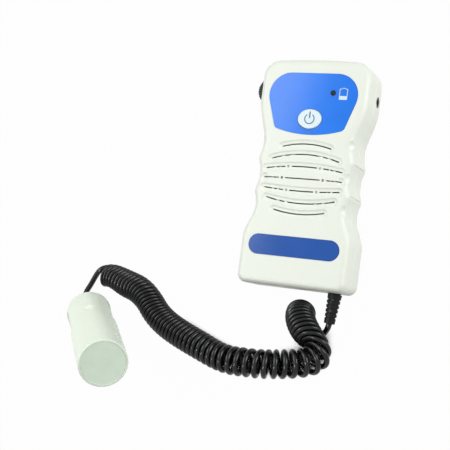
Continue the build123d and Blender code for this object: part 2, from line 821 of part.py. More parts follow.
# ---- strain relief, moulded on the lead and held between the shells ----
relief_side = Plane(origin=relief_plane.origin, x_dir=relief_plane.x_dir, z_dir=-relief_plane.y_dir)
with BuildPart() as strain_relief:
    with BuildSketch(relief_side):
        inner = -case_wall - 2 * fit_gap
        Polygon(
            (0, inner - 1.4),
            (relief_flange / 2, inner - 1.4),
            (relief_flange / 2, inner - 2 * fit_gap),
            (relief_neck / 2, inner - 2 * fit_gap),
            (relief_neck / 2, relief_stand_off),
            (relief_root / 2, relief_stand_off),
            (relief_tip / 2, relief_length),
            (0, relief_length),
            align=None,
        )
        pitch = (relief_length - 5) / relief_grooves
        for count in range(relief_grooves):
            place = 4.0 + count * pitch
            radius = relief_root / 2 - (relief_root - relief_tip) / 2 * place / relief_length
            with Locations((radius, place)):
                Rectangle(2 * relief_groove_depth, relief_groove_width, mode=Mode.SUBTRACT)
    revolve(axis=Axis(relief_plane.origin, relief_plane.z_dir))
finish(strain_relief.part, "strain_relief")

# ---- probe ----
rise, turn = radians(probe_rise), radians(probe_turn)
probe_radius = probe_diameter / 2
probe_axis = Vector(cos(rise) * cos(turn), cos(rise) * sin(turn), sin(rise))
foot_height = probe_round + (probe_radius - probe_round) * cos(rise) - probe_round * sin(rise)
probe_across = Vector(-sin(turn), cos(turn), 0).rotate(Axis((0, 0, 0), probe_axis), probe_roll)
probe = Plane(origin=(*probe_foot, foot_height), x_dir=probe_across, z_dir=probe_axis)
probe_side = Plane(origin=probe.origin, x_dir=probe.x_dir, z_dir=-probe.y_dir)
probe_line = Axis(probe.origin, probe.z_dir)
lens_top = probe_length - lens_recess
lens_bottom = lens_top - lens_thickness
crystal_bottom = lens_bottom - crystal_thickness
cavity_radius = probe_radius - probe_wall

with BuildPart() as probe_form:
    with BuildSketch(probe_side) as wall:
        with BuildLine():
            Polyline(
                (grommet_hole / 2 + fit_gap, probe_rear_wall),
                (grommet_hole / 2 + fit_gap, 0),
                (probe_radius - probe_round, 0),
            )
            RadiusArc(
                (probe_radius - probe_round, 0), (probe_radius, probe_round), -probe_round
            )
            Polyline(
                (probe_radius, probe_round),
                (probe_radius, probe_length - probe_edge),
                (probe_radius - probe_edge, probe_length),
                (lens_diameter / 2 + fit_gap / 2, probe_length),
                (lens_diameter / 2 + fit_gap / 2, lens_bottom),
                (cavity_radius, lens_bottom),
                (cavity_radius, probe_rear_wall),
                (grommet_hole / 2 + fit_gap, probe_rear_wall),
            )
        make_face()
    revolve(axis=probe_line)
    flat = probe_radius - grip_depth
    with BuildSketch(probe.offset(grip_start)):
        for way in (-1, 1):
            with Locations((way * (flat + probe_radius / 2), 0)):
                Rectangle(probe_radius, probe_diameter)
    extrude(amount=grip_end - grip_start, mode=Mode.SUBTRACT)
    with BuildSketch(probe_side.offset(-grip_rib_length / 2)):
        for way in (-1, 1):
            for count in range(grip_ribs):
                with Locations((way * flat, grip_rib_first + count * grip_rib_pitch)):
                    Circle(grip_rib_radius)
    extrude(amount=grip_rib_length)

thumb_ball = (thumb_diameter**2 / 4 + thumb_depth**2) / (2 * thumb_depth)
with BuildPart() as probe_upper_shell:
    add(probe_form.part)
    split(bisect_by=probe_side, keep=Keep.BOTTOM)
    with Locations(probe.from_local_coords((0, probe_radius + thumb_ball - thumb_depth, thumb_place))):
        Sphere(thumb_ball, mode=Mode.SUBTRACT)
finish(probe_upper_shell.part, "probe_upper_shell")

with BuildPart() as probe_lower_shell:
    add(probe_form.part)
    split(bisect_by=probe_side, keep=Keep.TOP)
finish(probe_lower_shell.part, "probe_lower_shell")

with BuildPart() as probe_lens:
    with BuildSketch(probe.offset(lens_bottom)):
        Circle(lens_diameter / 2)
    extrude(amount=lens_thickness)
finish(probe_lens.part, "probe_lens")

# two half discs, one that sends and one that receives
with BuildPart() as probe_crystals:
    with BuildSketch(probe.offset(crystal_bottom)):
        Circle(crystal_diameter / 2)
        Rectangle(crystal_split, crystal_diameter, mode=Mode.SUBTRACT)
    extrude(amount=crystal_thickness)
finish(probe_crystals.part, "probe_crystals")

with BuildPart() as probe_backing:
    with BuildSketch(probe.offset(crystal_bottom - backing_length)):
        Circle(cavity_radius - fit_gap)
    extrude(amount=backing_length)
finish(probe_backing.part, "probe_backing")

with BuildPart() as probe_board:
    with BuildSketch(probe.offset(probe_board_start)):
        Rectangle(2 * (cavity_radius - 2 * fit_gap), probe_board_thickness)
    extrude(amount=probe_board_length)
finish(probe_board.part, "probe_board")

with BuildPart() as probe_grommet:
    with BuildSketch(probe_side):
        neck = grommet_hole / 2
        lip = neck + grommet_lip
        Polygon(
            (0, -grommet_proud),
            (lip - 0.3, -grommet_proud),
            (lip, -fit_gap),
            (neck, -fit_gap),
            (neck, probe_rear_wall + fit_gap),
            (lip + 0.6, probe_rear_wall + fit_gap),
            (lip + 0.6, probe_rear_wall + 1.6),
            (0, probe_rear_wall + 1.6),
            align=None,
        )
    revolve(axis=probe_line)
finish(probe_grommet.part, "probe_grommet")


# ---- the lead: each arc is as large as its two runs allow ----
def corner_radii(points):
    radii = []
    for before, corner, after in zip(points, points[1:], points[2:]):
        run_in = Vector(*corner) - Vector(*before)
        run_out = Vector(*after) - Vector(*corner)
        half_turn = radians(run_in.get_angle(run_out)) / 2
        radii.append(0.45 * min(run_in.length, run_out.length) / tan(half_turn))
    return radii


def cord_tube(points, diameter, name):
    radii = corner_radii(points)
    with BuildLine() as route:
        FilletPolyline(*points, radius=radii)
    path = route.wire()
    with BuildPart() as tube:
        with BuildSketch(Plane(origin=path @ 0, z_dir=path % 0)):
            Circle(diameter / 2)
        sweep(path=path)
    expected = path.length * pi * diameter**2 / 4
    print(
        name,
        "radii", [round(radius, 1) for radius in radii],
        "length", round(path.length, 1),
        "volume ratio", round(tube.part.volume / expected, 4),
    )
    return tube


# both ends leave what holds them straight before they bend
relief_exit = [
    tuple(relief_plane.from_local_coords((0, 0, relief_length + run))) for run in (0, lead_exit)
]
grommet_exit = [
    tuple(probe.from_local_coords((0, 0, -grommet_proud - run))) for run in (0, lead_exit)
]
unit_lead = cord_tube(relief_exit + unit_route, cord_diameter, "unit_lead")
finish(unit_lead.part, "unit_lead")
coiled_lead = cord_tube(coil_route, coil_outside, "coiled_lead")
finish(coiled_lead.part, "coiled_lead")
probe_lead = cord_tube(grommet_exit + probe_route, cord_diameter, "probe_lead")
finish(probe_lead.part, "probe_lead")
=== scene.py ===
import bpy
import bmesh
import math
import numpy as np
from mathutils import Matrix, Vector
from mathutils.bvhtree import BVHTree


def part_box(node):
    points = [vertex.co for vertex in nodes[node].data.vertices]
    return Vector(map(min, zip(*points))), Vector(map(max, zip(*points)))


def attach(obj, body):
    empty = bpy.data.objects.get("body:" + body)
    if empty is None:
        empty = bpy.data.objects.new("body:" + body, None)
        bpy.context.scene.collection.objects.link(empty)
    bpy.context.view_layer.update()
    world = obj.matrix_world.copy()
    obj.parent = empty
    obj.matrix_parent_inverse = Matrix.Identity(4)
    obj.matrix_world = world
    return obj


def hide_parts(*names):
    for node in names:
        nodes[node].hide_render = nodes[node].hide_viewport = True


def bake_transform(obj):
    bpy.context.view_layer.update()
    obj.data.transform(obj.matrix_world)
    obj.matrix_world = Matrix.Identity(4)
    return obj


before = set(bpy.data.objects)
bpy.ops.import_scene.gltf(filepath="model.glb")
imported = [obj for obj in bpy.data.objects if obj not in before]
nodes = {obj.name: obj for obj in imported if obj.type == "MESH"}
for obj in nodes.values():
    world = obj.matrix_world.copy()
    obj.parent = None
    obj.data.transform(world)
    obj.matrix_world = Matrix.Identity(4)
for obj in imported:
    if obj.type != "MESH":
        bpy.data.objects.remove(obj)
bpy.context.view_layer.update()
scene = bpy.context.scene
scene.view_settings.view_transform = "Standard"
print("frame loaded")

cameraSetup = {
    "eye": (0.2153, -0.0928, 0.6123),
    "right": (0.9075, 0.1353, -0.3976),
    "up": (-0.0889, 0.9871, 0.1331),
    "lens": 80.0,
    "sensor": 36.0,
    "near": 0.01,
}
lightSetup = {
    "aim": (-0.05, -0.04, 0.0),
    "ambient": 0.22,
    "keyPower": 7.4,
    "keyPlace": (-0.69, 0.12, 0.78),
    "keySize": 0.7,
    "fillPower": 9.0,
    "fillPlace": (0.95, 0.30, 0.50),
    "fillSize": 0.6,
    "sparkPower": 5.0,
    "sparkPlace": (-0.42, -0.58, 0.86),
    "sparkSize": 0.15,
}
floorSetup = {
    "halfSize": 4.0,
    "drop": 0.0002,             # below the part's lowest point
    "tone": 0.42,
    "shadow": 0.02,             # how much of the shadows the floor shows
    # painted shade: these settings dim the floor's glow in the gaps of the coil
    "reach": 0.02,              # how far off something still darkens the gaps of the coil
    "skySamples": 16,
    "dark": 0.30,               # share of the sky that leaves the floor dark, and bright
    "clear": 0.46,
    "paintedShadeToY": (-0.102, -0.094),        # the darkening ends between these places
    "paintedShadeFromX": (-0.085, -0.065),      # and starts between these
}


def pointCamera(setup):
    right = Vector(setup["right"]).normalized()
    up = Vector(setup["up"])
    up = (up - right * up.dot(right)).normalized()
    turn = Matrix((right, up, right.cross(up))).transposed().to_4x4()
    data = bpy.data.cameras.new("camera")
    data.lens = setup["lens"]
    data.sensor_width = setup["sensor"]
    data.clip_start = setup["near"]
    camera = bpy.data.objects.new("camera", data)
    camera.matrix_world = Matrix.Translation(setup["eye"]) @ turn
    scene.collection.objects.link(camera)
    scene.camera = camera


def addLamp(setup, name, lights=True):
    # a lamp that doesn't light anything still shows as a highlight
    place = Vector(setup[name + "Place"])
    data = bpy.data.lights.new(name + "Lamp", "AREA")
    data.shape = "SQUARE"
    data.size = setup[name + "Size"]
    data.energy = setup[name + "Power"]
    lamp = bpy.data.objects.new(name + "Lamp", data)
    turn = (Vector(setup["aim"]) - place).to_track_quat("-Z", "Y").to_matrix().to_4x4()
    lamp.matrix_world = Matrix.Translation(place) @ turn
    lamp.visible_diffuse = lights
    scene.collection.objects.link(lamp)


def emptyTree(holder):
    holder.use_nodes = True
    holder.node_tree.nodes.clear()
    return holder.node_tree


def addMath(tree, operation, first, second):
    # the first input is a socket, the second a socket or a number
    node = tree.nodes.new("ShaderNodeMath")
    node.operation = operation
    tree.links.new(first, node.inputs[0])
    if isinstance(second, float):
        node.inputs[1].default_value = second
    else:
        tree.links.new(second, node.inputs[1])
    return node.outputs[0]


def addRange(tree, value, low, high, toLow=0.0, toHigh=1.0, smooth=True):
    node = tree.nodes.new("ShaderNodeMapRange")
    node.interpolation_type = "SMOOTHSTEP" if smooth else "LINEAR"
    limits = {"From Min": low, "From Max": high, "To Min": toLow, "To Max": toHigh}
    for name, limit in limits.items():
        node.inputs[name].default_value = limit
    tree.links.new(value, node.inputs["Value"])
    return node.outputs["Result"]


def mixShaders(tree, share, first, second, out):
    mix = tree.nodes.new("ShaderNodeMixShader")
    tree.links.new(share, mix.inputs["Fac"])
    tree.links.new(first.outputs[0], mix.inputs[1])
    tree.links.new(second.outputs[0], mix.inputs[2])
    tree.links.new(mix.outputs[0], out.inputs["Surface"])


def seenDirectly(tree):
    # 1 for rays that show the background itself: camera, mirror and glass rays
    path = tree.nodes.new("ShaderNodeLightPath").outputs
    seen = addMath(tree, "MAXIMUM", path["Is Camera Ray"], path["Is Glossy Ray"])
    return addMath(tree, "MAXIMUM", seen, path["Is Transmission Ray"])


def buildWorld(setup):
    world = bpy.data.worlds.new("studio")
    scene.world = world
    tree = emptyTree(world)
    out = tree.nodes.new("ShaderNodeOutputWorld")
    room = tree.nodes.new("ShaderNodeBackground")
    seen = tree.nodes.new("ShaderNodeBackground")
    for node in (room, seen):
        node.inputs["Color"].default_value = (1, 1, 1, 1)
    room.inputs["Strength"].default_value = setup["ambient"]
    mixShaders(tree, seenDirectly(tree), room, seen, out)


def floorGlowWithPaintedShade(tree, setup):
    # painted shade: the floor's glow is dimmed where little sky reaches it, in the gaps of the
    # coil
    sky = tree.nodes.new("ShaderNodeAmbientOcclusion")
    sky.samples = setup["skySamples"]
    sky.inputs["Distance"].default_value = setup["reach"]
    place = tree.nodes.new("ShaderNodeTexCoord")
    parts = tree.nodes.new("ShaderNodeSeparateXYZ")
    tree.links.new(place.outputs["Object"], parts.inputs[0])
    glow = addRange(tree, sky.outputs["AO"], setup["dark"], setup["clear"])
    beyond = addRange(tree, parts.outputs["Y"], *setup["paintedShadeToY"])
    aside = addRange(tree, parts.outputs["X"], *setup["paintedShadeFromX"], 1.0, 0.0)
    return addMath(tree, "MAXIMUM", glow, addMath(tree, "MAXIMUM", beyond, aside))


def buildFloor(setup):
    mesh = bpy.data.meshes.new("floor")
    form = bmesh.new()
    bmesh.ops.create_grid(form, x_segments=1, y_segments=1, size=setup["halfSize"])
    bmesh.ops.translate(form, verts=form.verts, vec=(0, 0, -setup["drop"]))
    form.to_mesh(mesh)
    form.free()
    floor = bpy.data.objects.new("floor", mesh)
    scene.collection.objects.link(floor)
    paper = bpy.data.materials.new("paleFloor")
    tree = emptyTree(paper)
    out = tree.nodes.new("ShaderNodeOutputMaterial")
    matte = tree.nodes.new("ShaderNodeBsdfDiffuse")
    matte.inputs["Color"].default_value = (*[setup["tone"]] * 3, 1)
    glow = tree.nodes.new("ShaderNodeEmission")
    glow.inputs["Color"].default_value = (1, 1, 1, 1)
    # the glow carries the painted shade in the gaps of the coil
    tree.links.new(floorGlowWithPaintedShade(tree, setup), glow.inputs["Strength"])
    share = addMath(tree, "MULTIPLY", seenDirectly(tree), 1 - setup["shadow"])
    mixShaders(tree, share, matte, glow, out)
    mesh.materials.append(paper)


pointCamera(cameraSetup)
buildWorld(lightSetup)
addLamp(lightSetup, "key")
addLamp(lightSetup, "fill")
addLamp(lightSetup, "spark", lights=False)
buildFloor(floorSetup)
print("camera and studio ready")

# finishes: colours are linear; cloud and grain are lengths in metres
finishes = {
    "casingWhite": dict(
        colour=(0.84, 0.88, 0.79), spread=0.012, cloud=0.03, rough=0.42, roughSpread=0.06,
        grain=0.00035, bump=0.10, soft=0.03),
    "keypadFilm": dict(
        colour=(0.003, 0.195, 0.88), spread=0.05, cloud=0.02, rough=0.125, roughSpread=0.01,
        grain=0.00022, bump=0.03, shine=0.36),
    "badgeFilm": dict(
        colour=(0.005, 0.085, 0.40), spread=0.04, cloud=0.02, rough=0.125, roughSpread=0.01,
        grain=0.00022, bump=0.03, shine=0.36),
    "keyPale": dict(
        colour=(0.72, 0.86, 0.90), spread=0.02, cloud=0.006, rough=0.32, roughSpread=0.05,
        grain=0.00025, bump=0.05, coat=0.2, coatRough=0.2),
    "smokedLens": dict(
        colour=(0.016, 0.018, 0.022), spread=0.15, cloud=0.002, rough=0.18, roughSpread=0.04,
        grain=0.0004, bump=0.03, shine=0.15),
    "wheelGrey": dict(
        colour=(0.008, 0.011, 0.012), spread=0.10, cloud=0.004, rough=0.45, roughSpread=0.08,
        grain=0.0003, bump=0.12, shine=0.2),
    "socketBlack": dict(
        colour=(0.012, 0.012, 0.014), spread=0.10, cloud=0.004, rough=0.35, roughSpread=0.08,
        grain=0.0003, bump=0.08),
    "epoxyBlack": dict(
        colour=(0.018, 0.018, 0.02), spread=0.12, cloud=0.003, rough=0.5, roughSpread=0.1,
        grain=0.0002, bump=0.15),
    "boardGreen": dict(
        colour=(0.010, 0.13, 0.045), spread=0.14, cloud=0.004, rough=0.35, roughSpread=0.08,
        grain=0.0008, bump=0.06, coat=0.4, coatRough=0.15),
    "platedSteel": dict(
        colour=(0.56, 0.57, 0.59), metal=1.0, spread=0.05, cloud=0.006, rough=0.28,
        roughSpread=0.1, grain=0.0004, bump=0.05),
    "paperCone": dict(
        colour=(0.03, 0.03, 0.032), spread=0.25, cloud=0.002, rough=0.85, roughSpread=0.08,
        grain=0.0005, bump=0.35),
    "foamBlack": dict(
        colour=(0.02, 0.02, 0.02), spread=0.3, cloud=0.001, rough=0.9, roughSpread=0.05,
        grain=0.0006, bump=0.5),
    "cellJacket": dict(
        colour=(0.20, 0.21, 0.23), metal=0.8, spread=0.05, cloud=0.01, rough=0.3,
        roughSpread=0.06, grain=0.0005, bump=0.04),
    "nickelSpring": dict(
        colour=(0.72, 0.70, 0.66), metal=1.0, spread=0.04, cloud=0.004, rough=0.22,
        roughSpread=0.06, grain=0.0004, bump=0.04),
    "cordBlack": dict(
        colour=(0.0045, 0.0055, 0.005), spread=0.12, cloud=0.01, rough=0.24, roughSpread=0.04,
        grain=0.0006, bump=0.03, shine=0.32),
    "reliefBlack": dict(
        colour=(0.006, 0.006, 0.006), spread=0.10, cloud=0.006, rough=0.5, roughSpread=0.08,
        grain=0.0003, bump=0.12, shine=0.16),
    "probeGreen": dict(
        colour=(0.85, 0.94, 0.80), spread=0.015, cloud=0.02, rough=0.40, roughSpread=0.06,
        grain=0.0003, bump=0.08, soft=0.03),
    "lensGreen": dict(
        colour=(0.79, 0.93, 0.77), spread=0.03, cloud=0.012, rough=0.34, roughSpread=0.05,
        grain=0.0004, bump=0.04),
    "crystalCeramic": dict(
        colour=(0.78, 0.74, 0.60), spread=0.04, cloud=0.004, rough=0.4, roughSpread=0.06,
        grain=0.0004, bump=0.08),
    "castResin": dict(
        colour=(0.07, 0.07, 0.08), spread=0.12, cloud=0.004, rough=0.4, roughSpread=0.1,
        grain=0.0006, bump=0.10),
    # a darker copy of the casing colour: painted shade in the grille's holes and along the side's
    # creases
    "paintedShadeGrey": dict(
        colour=(0.40, 0.44, 0.34), spread=0.05, cloud=0.002, rough=0.5, roughSpread=0.05,
        grain=0.0003, bump=0.03),
    "inkGrey": dict(
        colour=(0.03, 0.09, 0.22), spread=0.03, cloud=0.002, rough=0.45, roughSpread=0.04,
        grain=0.0003, bump=0.03),
    "inkPale": dict(
        colour=(0.66, 0.80, 0.92), spread=0.03, cloud=0.002, rough=0.45, roughSpread=0.04,
        grain=0.0003, bump=0.03),
}
finishNoise = {
    "cloudDetail": 4.0,
    "grainDetail": 2.0,
    "from": 0.3,                # the noise between these values takes the whole spread
    "to": 0.7,
    "bumpHeight": 0.5,          # share of the grain's size
    "softReach": (0.0012, 0.001, 0.0008),
}


def addNoise(tree, place, size, detail):
    noise = tree.nodes.new("ShaderNodeTexNoise")
    noise.inputs["Scale"].default_value = 1 / size
    noise.inputs["Detail"].default_value = detail
    tree.links.new(place.outputs["Object"], noise.inputs["Vector"])
    return noise.outputs["Fac"]


def makeFinish(name, look, noise):
    finish = bpy.data.materials.new(name)
    finish.use_nodes = True
    tree = finish.node_tree
    shader = tree.nodes["Principled BSDF"]
    settings = {
        "Metallic": look.get("metal", 0.0),
        "Specular IOR Level": look.get("shine", 0.5),
        "Coat Weight": look.get("coat", 0.0),
        "Coat Roughness": look.get("coatRough", 0.1),
        "Subsurface Weight": look.get("soft", 0.0),
        "Subsurface Radius": noise["softReach"],
    }
    for key, value in settings.items():
        shader.inputs[key].default_value = value
    place = tree.nodes.new("ShaderNodeTexCoord")

    cloud = addNoise(tree, place, look["cloud"], noise["cloudDetail"])
    tint = tree.nodes.new("ShaderNodeValToRGB")
    ends = ((noise["from"], 1 - look["spread"]), (noise["to"], 1 + look["spread"]))
    for stop, (position, scale) in zip(tint.color_ramp.elements, ends):
        stop.position = position
        stop.color = (*[min(1, c * scale) for c in look["colour"]], 1)
    tree.links.new(cloud, tint.inputs["Fac"])
    tree.links.new(tint.outputs["Color"], shader.inputs["Base Color"])
    low, high = look["rough"] - look["roughSpread"], look["rough"] + look["roughSpread"]
    polish = addRange(tree, cloud, noise["from"], noise["to"], low, high, smooth=False)
    tree.links.new(polish, shader.inputs["Roughness"])

    grain = addNoise(tree, place, look["grain"], noise["grainDetail"])
    bump = tree.nodes.new("ShaderNodeBump")
    bump.inputs["Strength"].default_value = look["bump"]
    bump.inputs["Distance"].default_value = look["grain"] * noise["bumpHeight"]
    tree.links.new(grain, bump.inputs["Height"])
    tree.links.new(bump.outputs["Normal"], shader.inputs["Normal"])
    return finish


finishOf = {name: makeFinish(name, look, finishNoise) for name, look in finishes.items()}

nodeFinish = {
    "front_shell": "casingWhite", "rear_shell": "casingWhite", "battery_door": "casingWhite",
    "keypad_overlay": "keypadFilm", "badge_plate": "badgeFilm", "power_key": "keyPale",
    "led_indicator": "smokedLens", "volume_wheel": "wheelGrey", "volume_control": "epoxyBlack",
    "headphone_socket": "socketBlack", "main_board": "boardGreen", "power_switch": "epoxyBlack",
    "board_components": "epoxyBlack", "speaker_frame": "platedSteel",
    "speaker_cone": "paperCone", "speaker_magnet": "platedSteel", "speaker_gasket": "foamBlack",
    "battery_cells": "cellJacket", "battery_contacts": "nickelSpring",
    "case_screw_set": "platedSteel", "board_screw_set": "platedSteel",
    "strain_relief": "reliefBlack", "probe_upper_shell": "probeGreen",
    "probe_lower_shell": "probeGreen", "probe_lens": "lensGreen",
    "probe_crystals": "crystalCeramic", "probe_backing": "castResin",
    "probe_board": "boardGreen", "probe_grommet": "reliefBlack",
}
for nodeName, finishName in nodeFinish.items():
    for holder in nodes[nodeName].material_slots:
        holder.material = finishOf[finishName]
print("finishes on the CAD nodes")


def directions(line):
    ahead = np.gradient(line, axis=0)
    return ahead / np.linalg.norm(ahead, axis=1)[:, None]


def prism(form, outline, low, high):
    below = [form.verts.new((x, y, low)) for x, y in outline]
    above = [form.verts.new((x, y, high)) for x, y in outline]
    form.faces.new(list(reversed(below)))
    form.faces.new(above)
    for k in range(len(outline)):
        m = (k + 1) % len(outline)
        form.faces.new((below[k], below[m], above[m], above[k]))


def ribbon(points, stroke):
    # the outline of a stroke of even width along points
    line = np.array(points, dtype=float)
    ahead = directions(line)
    across = np.stack([-ahead[:, 1], ahead[:, 0]], axis=1) * stroke / 2
    return [tuple(p) for p in line - across] + [tuple(p) for p in (line + across)[::-1]]


def disc(middle, radius, sides):
    turns = [2 * math.pi * k / sides for k in range(sides)]
    return [(middle[0] + radius * math.cos(a), middle[1] + radius * math.sin(a)) for a in turns]


def band(form, inner, outer):
    # a closed thin strip between two strips of points, each a list of pairs
    rows = [[[form.verts.new(p) for p in pair] for pair in strip] for strip in (inner, outer)]
    low, high = rows
    for k in range(len(inner) - 1):
        for layer in rows:
            form.faces.new((layer[k][0], layer[k][1], layer[k + 1][1], layer[k + 1][0]))
        for edge in (0, 1):
            form.faces.new((low[k][edge], low[k + 1][edge], high[k + 1][edge], high[k][edge]))
    for k in (0, len(inner) - 1):
        form.faces.new((low[k][0], low[k][1], high[k][1], high[k][0]))


def keepMark(name, form, finish, body):
    bmesh.ops.recalc_face_normals(form, faces=form.faces)
    mesh = bpy.data.meshes.new(name)
    form.to_mesh(mesh)
    form.free()
    mesh.materials.append(finishOf[finish])
    mark = bpy.data.objects.new(name, mesh)
    scene.collection.objects.link(mark)
    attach(mark, body)


def printed(name, outlines, low, high, finish, body):
    form = bmesh.new()
    for outline in outlines:
        prism(form, outline, low, high)
    keepMark(name, form, finish, body)


# the sign on the key
powerMark = {
    "radius": 0.0031,
    "stroke": 0.00062,
    "barStroke": 0.000775,
    "gap": 34.0,                # half of the ring's opening, degrees
    "barFrom": 0.0004,
    "barTo": 0.0046,
    "rise": 0.00005,            # above the key, and how deep it goes into it
    "sunk": 0.0002,
    "points": 49,
}


def makePowerMark(setup):
    low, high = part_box("power_key")
    x, y = (low[0] + high[0]) / 2, (low[1] + high[1]) / 2
    gap = math.radians(setup["gap"])
    turns = np.linspace(math.pi / 2 + gap, math.pi * 2.5 - gap, setup["points"])
    ring = [(x + setup["radius"] * math.cos(a), y + setup["radius"] * math.sin(a)) for a in turns]
    bar = [(x, y + setup["barFrom"]), (x, y + setup["barTo"])]
    shapes = [ribbon(ring, setup["stroke"]), ribbon(bar, setup["barStroke"])]
    printed("powerMark", shapes, high[2] - setup["sunk"], high[2] + setup["rise"],
            "inkGrey", "power_key")


# the sign on the film beside the indicator
batteryMark = {
    "left": 0.0173,
    "right": 0.0226,
    "bottom": 0.0468,
    "top": 0.0543,
    "band": 0.0024,
    "stroke": 0.00038,
    "shoulder": 0.0009,         # below the top
    "shoulderWidth": 0.00144,
    "rise": 0.00005,
    "sunk": 0.0002,
}


def makeBatteryMark(setup):
    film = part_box("keypad_overlay")[1][2]
    left, right, bottom, top = (setup[k] for k in ("left", "right", "bottom", "top"))
    stroke, inset = setup["stroke"], setup["shoulderWidth"]
    full = bottom + setup["band"]
    shoulder = top - setup["shoulder"]
    boxes = [
        (left, bottom, right, full),
        (left, full, left + stroke, shoulder),
        (right - stroke, full, right, shoulder),
        (left, shoulder, left + inset, shoulder + stroke),
        (right - inset, shoulder, right, shoulder + stroke),
        (left + inset, top - stroke, right - inset, top),
    ]
    shapes = [[(x0, y0), (x1, y0), (x1, y1), (x0, y1)] for x0, y0, x1, y1 in boxes]
    printed("batteryMark", shapes, film - setup["sunk"], film + setup["rise"],
            "inkPale", "casing")


# shallow plugs in the round holes where the grille's slots break off, grey for painted shade in
# the holes
grillePlugs = {
    # of each slot: its place, half width, fall of its ends, place of its breaks
    "rows": [
        (0.0034, 0.0250, 0.0021, 0.0105),
        (-0.0044, 0.0255, 0.0003, 0.0136),
        (-0.0122, 0.0248, -0.0011, 0.0100),
    ],
    "radius": 0.00092,
    "sides": 20,
    "grooveDepth": 0.00105,
    "sunk": 0.0002,
    "thickness": 0.0008,
}


def makePlugs(setup):
    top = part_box("front_shell")[1][2] - setup["grooveDepth"] - setup["sunk"]
    shapes = [disc((x, place - fall * (x / half) ** 2), setup["radius"], setup["sides"])
              for place, half, fall, at in setup["rows"] for x in (-at, at)]
    printed("grillePlugs", shapes, top - setup["thickness"], top,
            "paintedShadeGrey", "casing")


# thin grey lines of painted shade down the right side where its scoops meet, on the surface that
# rays from that side reach
sideCreases = {
    "places": [0.0070, -0.0128],
    "low": 0.0060,
    "high": 0.0272,
    "width": 0.00032,
    "proud": 0.00004,
    "sunk": 0.0003,
    "points": 40,
    "raysFrom": 0.06,
}


def makeCreases(setup):
    depsgraph = bpy.context.evaluated_depsgraph_get()
    shells = (nodes["front_shell"], nodes["rear_shell"])
    walls = [BVHTree.FromObject(shell, depsgraph) for shell in shells]
    form = bmesh.new()
    for place in setup["places"]:
        inner, outer = [], []
        for z in np.linspace(setup["low"], setup["high"], setup["points"]):
            pairs = []
            for side in (-0.5, 0.5):
                origin = Vector((setup["raysFrom"], place + side * setup["width"], z))
                reached = [wall.ray_cast(origin, Vector((-1, 0, 0)))[0] for wall in walls]
                x = max(p[0] for p in reached if p is not None)
                pairs.append((x, origin[1], z))
            inner.append([(x - setup["sunk"], b, c) for x, b, c in pairs])
            outer.append([(x + setup["proud"], b, c) for x, b, c in pairs])
        band(form, inner, outer)
    keepMark("sideCreases", form, "paintedShadeGrey", "casing")


# dark slits round the strain relief
reliefSlits = {
    "origin": (0.0256, -0.0725, 0.0135),
    "lean": (-5.5, -3.5),       # degrees towards +X and +Z
    "places": [(0.0039, 80.0), (0.0109, 84.0)],     # along it, and round it from the right
    "rootRadius": 0.0045,
    "taper": 0.0579,
    "length": 0.00085,
    "spread": 11.0,             # degrees to either side
    "points": 5,
    "proud": 0.00008,
    "sunk": 0.0009,
}


def makeSlits(setup):
    origin = Vector(setup["origin"])
    lean = [math.sin(math.radians(a)) for a in setup["lean"]]
    axis = Vector((lean[0], -1, lean[1])).normalized()
    side = (Vector((1, 0, 0)) - axis * axis[0]).normalized()
    up = axis.cross(side)
    form = bmesh.new()
    for along, turn in setup["places"]:
        inner, outer = [], []
        for offset in np.linspace(-setup["spread"], setup["spread"], setup["points"]):
            angle = math.radians(turn + offset)
            way = side * math.cos(angle) + up * math.sin(angle)
            low, high = [], []
            for end in (-0.5, 0.5):
                place = along + end * setup["length"]
                radius = setup["rootRadius"] - setup["taper"] * place
                low.append(origin + axis * place + way * (radius - setup["sunk"]))
                high.append(origin + axis * place + way * (radius + setup["proud"]))
            inner.append(low)
            outer.append(high)
        band(form, inner, outer)
    keepMark("reliefSlits", form, "socketBlack", "casing")


makePowerMark(powerMark)
makeBatteryMark(batteryMark)
makePlugs(grillePlugs)
makeCreases(sideCreases)
makeSlits(reliefSlits)
print("marks ready")


# the lead: one cord from the strain relief through the coil to the probe
cordSetup = {
    "diameter": 0.0038,
    "sides": 16,
    "stepsPerTurn": 32,
    "lastTurn": 21.25,
    "coilRadius": 0.0077,       # middle of the cord round the coil's middle line
    "probeEndRadius": 0.0062,   # the coil narrows towards the probe
    "widensOver": 8.0,          # turns
    "pressed": 0.97,            # share of the way to the next turn that a closed turn fills
    "thinnest": 0.0013,
    "easePoints": 15,           # the pressing changes over this many points
    "coilClear": 0.0001,        # a turn and the straight runs rest this far above the surface
    "endClear": 0.00002,
    "routeStep": 0.00005,
    "endStep": 0.0004,
    "probeReach": 0.0025,       # the straight runs leave the coil's ends over these lengths
    "unitReach": 0.0020,
    "swellPoints": 12,          # and come to their full thickness over this many points
    "joinInset": 6,             # points before the coil where the probe's join is eased
    "joinReach": 0.006,
    "joinRounds": 120,
}
